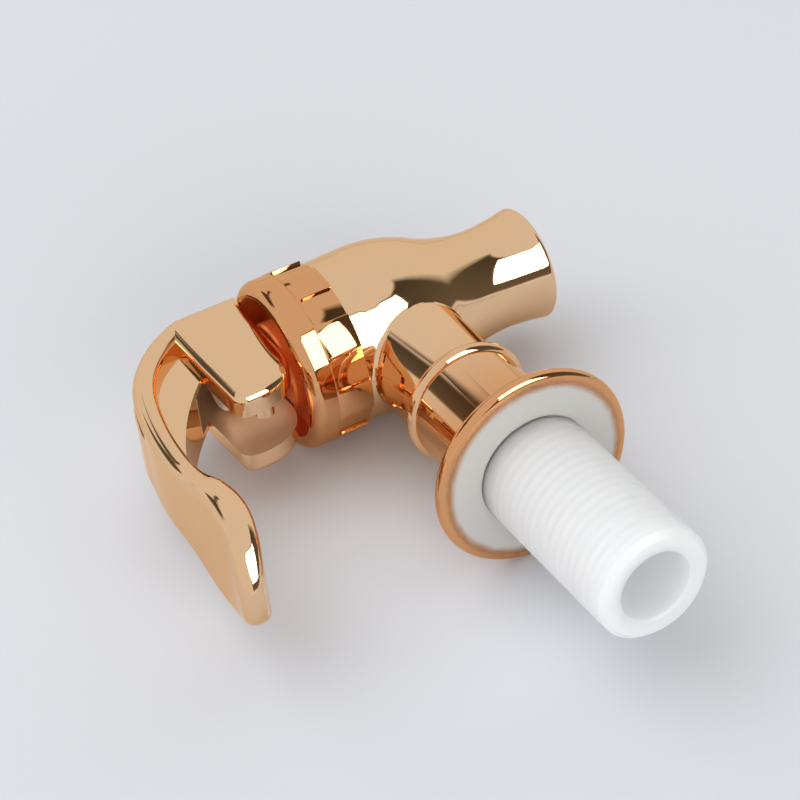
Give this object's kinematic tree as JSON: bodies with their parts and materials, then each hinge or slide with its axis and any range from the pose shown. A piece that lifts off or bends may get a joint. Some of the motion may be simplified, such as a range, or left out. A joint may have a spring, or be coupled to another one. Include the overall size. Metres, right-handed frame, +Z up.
{
  "type": "bottle tap",
  "caption": "Lift-lever dispenser tap: waisted barrel with a ribbed screw bonnet, flanged side nipple, and a swivelling lever that raises a sprung seat cup off its seat.",
  "frame": {"origin": "centre of the flange's seat face, where the tap meets the vessel's wall", "axes": "+Y out along the nipple into the vessel, +Z up the valve's axis towards the lever, spout down"},
  "size_m": [0.0286, 0.0807, 0.0672],
  "materials": {
    "plated_plastic": "rose-gold electroplate on moulded ABS, bare white plastic on the nipple",
    "pin_steel": "stainless steel dowel",
    "stem_plastic": "white moulded acetal",
    "spring_wire": "drawn stainless wire",
    "silicone": "moulded translucent white silicone"
  },
  "bodies": {
    "housing": {"tap_body": "plated_plastic", "bonnet": "plated_plastic", "seat_cup": "silicone"},
    "spring": {"return_spring": "spring_wire"},
    "stem": {"stem": "stem_plastic", "pivot_pin": "pin_steel"},
    "lever": {"handle": "plated_plastic"}
  },
  "joints": [
    {"name": "stem_swivel", "type": "hinge", "parent": "housing", "child": "spring", "pos_m": [0, -0.0402, 0], "axis": [0, 0, 1], "continuous": true},
    {"name": "stem_lift", "type": "slide", "parent": "spring", "child": "stem", "axis": [0, 0, 1], "range_m": [0, 0.0024], "stiffness_N_per_m": 300, "springref_m": -0.001, "deforming": ["return_spring", "seat_cup"]},
    {"name": "handle_tilt", "type": "hinge", "parent": "stem", "child": "lever", "pos_m": [0, -0.0402, 0.0243], "axis": [-1, 0, 0], "range_deg": [0, 30]}
  ],
  "couplings": [
    {"joint": "handle_tilt", "follows": "stem_lift", "rad_per_m": 200}
  ]
}
